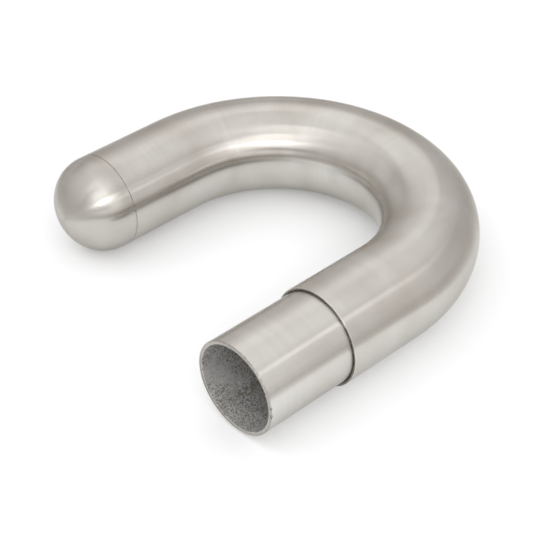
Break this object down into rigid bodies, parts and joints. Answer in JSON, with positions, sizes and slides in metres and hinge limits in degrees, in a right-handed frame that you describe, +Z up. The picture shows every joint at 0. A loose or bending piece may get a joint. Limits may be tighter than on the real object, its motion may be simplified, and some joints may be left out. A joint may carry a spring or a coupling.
{
  "type": "handrail bend",
  "caption": "Half-turn handrail bend of round satin stainless tube, with a domed end cap on one leg and a connecting sleeve standing out of the other.",
  "frame": {"origin": "centre of the cut end of the leg that holds the connecting sleeve, where the next rail stops", "axes": "-X out of that leg along the sleeve, +Y across to the capped leg, +Z up, square to the plane of the bend's centreline; the part lies flat, with its lowest line 20 mm below the origin"},
  "size_m": [0.159, 0.162, 0.04],
  "materials": {
    "tube_steel": "satin stainless, fine grinding lines that run round the tube",
    "cap_steel": "satin stainless, turned, fine lines round the dome",
    "sleeve_steel": "satin stainless outside, dull mottled mill finish inside"
  },
  "bodies": {
    "root": {"bend_tube": "tube_steel", "end_cap": "cap_steel", "connecting_sleeve": "sleeve_steel"}
  },
  "joints": []
}
